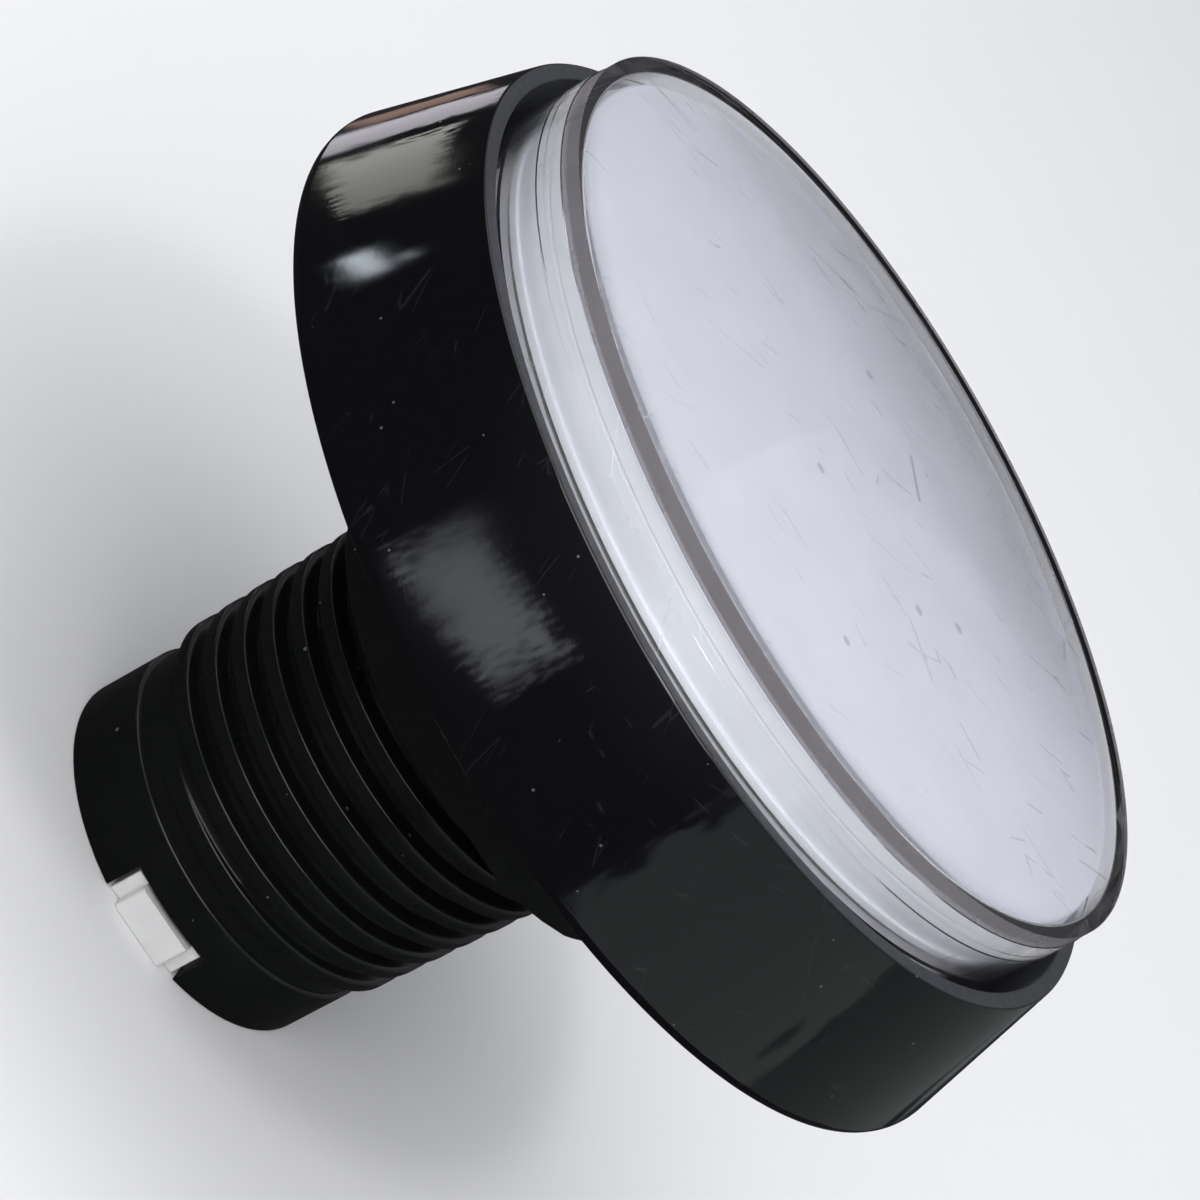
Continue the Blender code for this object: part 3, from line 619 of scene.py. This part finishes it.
def carrier():
    """White cup with a key for each notch, a catch ring, and a floor with slots for the terminals."""
    profile = rounded([
        (CARRIER, 0.0, 0.1), (CARRIER, 3.6), (CARRIER + 0.4, 3.7), (CARRIER + 0.4, 3.9), (CARRIER, 4.1),
        (CARRIER, CARRIER_TOP, 0.1), (CARRIER_BORE, CARRIER_TOP, 0.1), (CARRIER_BORE, FLOOR_HIGH),
        (0.0, FLOOR_HIGH), (0.0, FLOOR_LOW), (CARRIER_BORE, FLOOR_LOW), (CARRIER_BORE, 0.0, 0.1),
    ])
    bm = lathe(profile, TURN)
    for side in (-1, 1):
        bm = combine(bm, prism(bmesh.new(), key_outline(side), 0.05, NOTCH_TOP - 0.3), "UNION")
    slots = bmesh.new()
    thin, wide = TAB_THICK / 2 + TAB_GAP, TAB_WIDTH / 2 + TAB_GAP
    for x in (-TAB_SPACING, 0.0, TAB_SPACING):
        block(slots, x - thin, x + thin, SWITCH_Y - wide, SWITCH_Y + wide, FLOOR_LOW - 1, FLOOR_HIGH + 1)
    for x in (-LAMP_TAB_X, LAMP_TAB_X):
        block(slots, x - wide, x + wide, LAMP_TAB_Y - thin, LAMP_TAB_Y + thin, FLOOR_LOW - 1, FLOOR_HIGH + 1)
    bm = combine(bm, slots, "DIFFERENCE")
    return place("carrier", bm, [NYLON], "housing", "terminal_carrier")


def lens():
    """Clear cap with a crowned plate, a fine ridge round its wall and a pocket for the disc."""
    crown = []
    steps = 24
    for i in range(1, steps + 1):
        r = LENS_PLATE * (1 - i / steps)
        crown.append((max(r, 0.0), LENS_EDGE + LENS_CROWN * (1 - (r / LENS_PLATE) ** 2)))
    outline = rounded([
        (LENS_OUTER, LENS_END, 0.1), (LENS_OUTER, LENS_RIDGE - 0.06), (LENS_OUTER + 0.05, LENS_RIDGE, 0.02),
        (LENS_OUTER, LENS_RIDGE + 0.06), (LENS_OUTER, SHOULDER - 0.02), (LENS_OUTER - 0.05, SHOULDER + 0.02),
        (LENS_PLATE, LENS_EDGE, 0.22)])
    inner = rounded([
        (0.0, SHOULDER), (LENS_INNER, SHOULDER, 0.1), (LENS_INNER, DISC_HIGH), (DISC_POCKET, DISC_HIGH - 0.3),
        (DISC_POCKET, DISC_LOW - 0.2), (LENS_LIP, DISC_LOW - 0.3), (LENS_LIP, LENS_END)])
    bm = lathe(outline + crown + inner)
    for face in bm.faces:
        plate_edge = all(vert.co.z > SHOULDER + 0.01 and vert.co.to_2d().length > LENS_PLATE - 0.01
                         for vert in face.verts)
        inner_wall = all(DISC_HIGH - 0.01 < vert.co.z < SHOULDER + 0.01
                         and abs(vert.co.to_2d().length - LENS_INNER) < 0.11 for vert in face.verts)
        # the plate's outer edge gets the clear plastic painted grey, painted shade
        face.material_index = 1 if plate_edge else 2 if inner_wall else 0
    mats = [clear_plastic(), clear_edge_painted_shade(), clear_plastic("clear_satin", 0.12)]
    return place("lens", bm, mats, "button", "lens_cap")


def diffuser():
    """Milky cup, open below, with a narrow foot and a fine groove round its side."""
    inside, ceiling = DIFFUSER - DIFFUSER_SIDE_WALL, DIFFUSER_HIGH - DIFFUSER_TOP_WALL
    profile = rounded([
        (DIFFUSER_FOOT, DIFFUSER_LOW, 0.06), (DIFFUSER_FOOT, FOOT_TOP, 0.06), (DIFFUSER, FOOT_TOP, 0.06),
        (DIFFUSER, GROOVE - 0.08, 0.03), (DIFFUSER - 0.12, GROOVE, 0.03), (DIFFUSER, GROOVE + 0.08, 0.03),
        (DIFFUSER, DIFFUSER_HIGH, 0.2), (0.0, DIFFUSER_HIGH), (0.0, ceiling), (inside, ceiling),
        (inside, DIFFUSER_LOW)])
    bm = lathe(profile)
    # Top, side and middle band of the wall get lit and shaded copies of one milky plastic: painted shade and
    # painted highlight.
    for face in bm.faces:
        on_top = all(vert.co.z > DIFFUSER_HIGH - 0.21 for vert in face.verts)
        on_wall = all(FOOT_TOP - 0.01 < vert.co.z < GROOVE for vert in face.verts)
        face.material_index = 0 if on_top else 2 if on_wall else 1
    # top painted darker; foot and band above the groove painted brighter; middle of the wall painted a little
    # darker than these
    mats = [
        diffuser_white("diffuser_white", (0.70, 0.71, 0.755)),
        diffuser_white("diffuser_side_painted_bright", (0.86, 0.88, 0.885)),
        diffuser_white("diffuser_wall_painted_shade", (0.76, 0.785, 0.80)),
    ]
    return place("diffuser_cup", bm, mats, "button", "diffuser")


def spring():
    """Coil spring on one helix with closed turns at both ends."""
    sides, steps_per_turn = 16, 72
    steps = int(SPRING_TURNS * steps_per_turn)
    low, high = SPRING_LOW + WIRE / 2, SPRING_HIGH - WIRE / 2
    closed = (WIRE + 0.12) / (high - low)
    bm = bmesh.new()
    rings = []
    for k in range(steps + 1):
        turn = k / steps_per_turn
        if turn < 1:
            rise = closed * turn
        elif turn > SPRING_TURNS - 1:
            rise = 1 - closed * (SPRING_TURNS - turn)
        else:
            rise = closed + (1 - 2 * closed) * (turn - 1) / (SPRING_TURNS - 2)
        angle = TAU * turn
        out = Vector((math.cos(angle), math.sin(angle), 0.0))
        middle = out * COIL + Vector((0, 0, low + (high - low) * rise))
        ring = []
        for i in range(sides):
            a = TAU * i / sides
            ring.append(bm.verts.new(middle + WIRE / 2 * (out * math.cos(a) + Vector((0, 0, math.sin(a))))))
        rings.append(ring)
    for first, second in zip(rings, rings[1:]):
        join_rings(bm, first, second)
    bm.faces.new(rings[0])
    bm.faces.new(rings[-1])
    obj = place("spring", bm, [STEEL], "housing", "return_spring")
    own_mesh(obj)


def paint(names, mat):
    """Give CAD nodes that keep their own shape a finished material."""
    for name in names:
        obj = bpy.data.objects[name]
        obj.data.materials.clear()
        obj.data.materials.append(mat)


# ---------------------------------------------------------------- stage

def floor(name, half):
    """Square of pale paper that gloss doesn't show; half is half its side in metres."""
    bm = bmesh.new()
    bmesh.ops.create_grid(bm, x_segments=8, y_segments=8, size=half)
    mesh = bpy.data.meshes.new(name)
    bm.to_mesh(mesh)
    bm.free()
    look = Look(name + "_paper", (0.86, 0.86, 0.86), 0.9)
    look.feed("Base Color", look.tint(look.noise(40.0, 3.0), (0.85, 0.85, 0.85), (0.87, 0.87, 0.87)))
    mesh.materials.append(look.mat)
    obj = bpy.data.objects.new(name, mesh)
    obj.visible_glossy = False
    bpy.context.scene.collection.objects.link(obj)
    return obj


def direction(azimuth, elevation):
    """Unit vector from angles in degrees: azimuth 0 is +Y and 90 is +X."""
    a, e = math.radians(azimuth), math.radians(elevation)
    return Vector((math.sin(a) * math.cos(e), math.cos(a) * math.cos(e), math.sin(e)))


def facing(out, distance, height, tilt=0.0):
    """Matrix of a card at a distance in metres along out, turned to face a height on the button's axis."""
    turn = out.to_track_quat("Z", "Y").to_matrix().to_4x4() @ Matrix.Rotation(math.radians(tilt), 4, "Z")
    return Matrix.Translation(Vector((0, 0, height * MM)) + out * distance) @ turn


def card(name, azimuth, elevation, distance, width, height, glow, colour):
    """Soft even area light that faces the button; angles are degrees, sizes and distance metres."""
    data = bpy.data.lights.new(name, "AREA")
    data.shape = "RECTANGLE"
    data.size, data.size_y = width, height
    data.energy = glow * math.pi * width * height
    data.color = colour
    obj = bpy.data.objects.new(name, data)
    obj.matrix_world = facing(direction(azimuth, elevation), distance, CARD_AIM)
    obj.visible_camera = False
    bpy.context.scene.collection.objects.link(obj)


def room():
    """Pale to the camera; to everything else dark near the horizon and soft grey overhead."""
    world = bpy.data.worlds.new("room")
    world.use_nodes = True
    tree = world.node_tree
    pale = tree.nodes["Background"]
    pale.inputs["Color"].default_value = (0.9, 0.9, 0.9, 1.0)
    dim = tree.nodes.new("ShaderNodeBackground")
    dim.inputs["Color"].default_value = (0.92, 0.94, 1.0, 1.0)
    height = tree.nodes.new("ShaderNodeSeparateXYZ")
    tree.links.new(tree.nodes.new("ShaderNodeTexCoord").outputs["Generated"], height.inputs[0])
    tree.links.new(map_range(tree, height.outputs["Z"], 0.14, 0.6, 0.03, 0.5), dim.inputs["Strength"])
    path = tree.nodes.new("ShaderNodeLightPath")
    mix = tree.nodes.new("ShaderNodeMixShader")
    tree.links.new(path.outputs["Is Camera Ray"], mix.inputs["Fac"])
    tree.links.new(dim.outputs["Background"], mix.inputs[1])
    tree.links.new(pale.outputs["Background"], mix.inputs[2])
    tree.links.new(mix.outputs["Shader"], tree.nodes["World Output"].inputs["Surface"])
    bpy.context.scene.world = world


def glow_panel(name, azimuth, elevation, wide, tall, tilt, glow, colour, soft=0.35):
    """Soft-edged panel far off that only shows in gloss; angles are degrees as seen from the button."""
    half_x = PANEL_DISTANCE * math.tan(math.radians(wide / 2))
    half_y = PANEL_DISTANCE * math.tan(math.radians(tall / 2))
    bm = bmesh.new()
    corners = [(-half_x, -half_y), (half_x, -half_y), (half_x, half_y), (-half_x, half_y)]
    bm.faces.new([bm.verts.new((x, y, 0)) for x, y in corners])
    mesh = bpy.data.meshes.new(name)
    bm.to_mesh(mesh)
    bm.free()
    look = Look(name + "_glow", (0.0, 0.0, 0.0), 1.0)
    axes = look.node("SeparateXYZ", Vector=look.where)
    across = look.calc("ABSOLUTE", look.times(axes.outputs["X"], 1 / half_x), 0.0)
    along = look.calc("ABSOLUTE", look.times(axes.outputs["Y"], 1 / half_y), 0.0)
    inside = look.calc("SUBTRACT", 1.0, look.most(across, along))
    ragged = look.ramp(look.noise(3.0 / min(half_x, half_y), 3.0), 0.3, 0.7, -0.35, 0.35)
    mask = look.ramp(look.add(inside, ragged), 0.0, soft, 0.0, 1.0)
    light = look.node("Emission", Color=(*colour, 1.0), Strength=glow)
    look.mix_surface(mask, look.node("BsdfTransparent").outputs["BSDF"], light.outputs["Emission"])
    mesh.materials.append(look.mat)
    obj = bpy.data.objects.new(name, mesh)
    obj.matrix_world = facing(direction(azimuth, elevation), PANEL_DISTANCE, PANEL_AIM, tilt)
    obj.visible_camera = False
    obj.visible_diffuse = False
    obj.visible_transmission = False
    obj.visible_shadow = False
    bpy.context.scene.collection.objects.link(obj)


def lights():
    """Soft studio lights, and the panels whose reflections show in the bezel."""
    card("overhead", 190, 72, 1.0, 1.3, 1.1, 0.9, (0.99, 0.99, 1.0))
    card("lamp", 172, 58, 1.0, 0.12, 0.12, 30, (1.0, 1.0, 1.0))
    card("left_fill", -80, 48, 1.0, 0.8, 0.8, 1.0, (0.98, 0.99, 1.0))
    card("front_fill", 192, 32, 0.9, 1.0, 0.5, 3.0, (0.99, 0.99, 1.0))
    grey, lavender = (0.98, 0.98, 0.92), (0.95, 0.92, 1.0)
    glow_panel("window", -73.6, -3.7, 8.5, 1.6, 18, 11, (0.82, 0.92, 1.0))
    glow_panel("window_corner", -75.2, -1.2, 2.6, 0.8, 20, 4, (0.8, 0.92, 1.0))
    glow_panel("shelf_grey", -46, -8.4, 25, 5.0, 14, 1.8, grey, 0.2)
    glow_panel("shelf_lavender", -24.5, -13.4, 12, 7.5, 14, 1.5, lavender, 0.2)
    glow_panel("shelf_brown", -13, -16.2, 9, 3.5, 20, 0.5, (1.0, 0.66, 0.58), 0.2)
    glow_panel("grey_patch", -152, 5.8, 37, 6.6, 6, 2.0, (0.95, 0.98, 1.0), 0.5)
    glow_panel("right_wall", 122, -2, 60, 32, 0, 0.45, (0.92, 1.0, 1.0), 0.06)
    glow_panel("right_low", 62, -4, 84, 34, 0, 0.18, (0.92, 1.0, 1.0), 0.2)


def camera():
    """Long lens, slightly above the button and rolled, as the button is seen lying over to the left."""
    forward = direction(11.57, -21.89)
    roll = math.radians(61.2)
    right = forward.cross(Vector((0, 0, 1))).normalized()
    up = right.cross(forward)
    tilted_right = right * math.cos(roll) + up * math.sin(roll)
    tilted_up = up * math.cos(roll) - right * math.sin(roll)
    distance, shift_right, shift_up = 237.94, -2.153, 0.694
    aim = Vector((0, 0, SEAT)) + tilted_right * shift_right + tilted_up * shift_up
    data = bpy.data.cameras.new("camera")
    data.lens, data.sensor_width = 135.0, 36.0
    data.clip_start, data.clip_end = 0.01, 20.0
    obj = bpy.data.objects.new("camera", data)
    turn = Matrix((tilted_right, tilted_up, -forward)).transposed().to_4x4()
    obj.matrix_world = Matrix.Translation((aim - forward * distance) * MM) @ turn
    bpy.context.scene.collection.objects.link(obj)
    bpy.context.scene.camera = obj


NYLON = white_nylon()
STEEL = metal("spring_steel", (0.34, 0.34, 0.34), (0.56, 0.55, 0.54), 0.28, (300, 300, 6000))
camera()
room()
lights()
floor("floor", 0.1)
floor("far_floor", 2.5).location.z = -0.0002
bezel()
stem()
carrier()
lens()
diffuser()
spring()
paint(["plunger"], NYLON)
paint(["lever_pin", "switch_lever"], STEEL)
paint(["switch_case", "switch_cover"],
      moulding("switch_plastic", (0.018, 0.018, 0.019), (0.034, 0.034, 0.036), 0.5))
paint(["switch_button"], moulding("button_red", (0.42, 0.02, 0.015), (0.55, 0.035, 0.025), 0.4))
paint(["contact_common", "contact_open", "contact_closed", "contact_blade",
       "lamp_tab_left", "lamp_tab_right"],
      metal("tinned_brass", (0.52, 0.49, 0.42), (0.74, 0.70, 0.60), 0.3, (400, 400, 7000)))
paint(["lamp_board"], moulding("board_green", (0.012, 0.12, 0.035), (0.025, 0.18, 0.06), 0.35))
paint(["led_left", "led_right"], lamp_clear())
paint(["resistor"], moulding("resistor_tan", (0.46, 0.34, 0.19), (0.60, 0.46, 0.28), 0.4))

bpy.context.scene.view_settings.view_transform = "Standard"
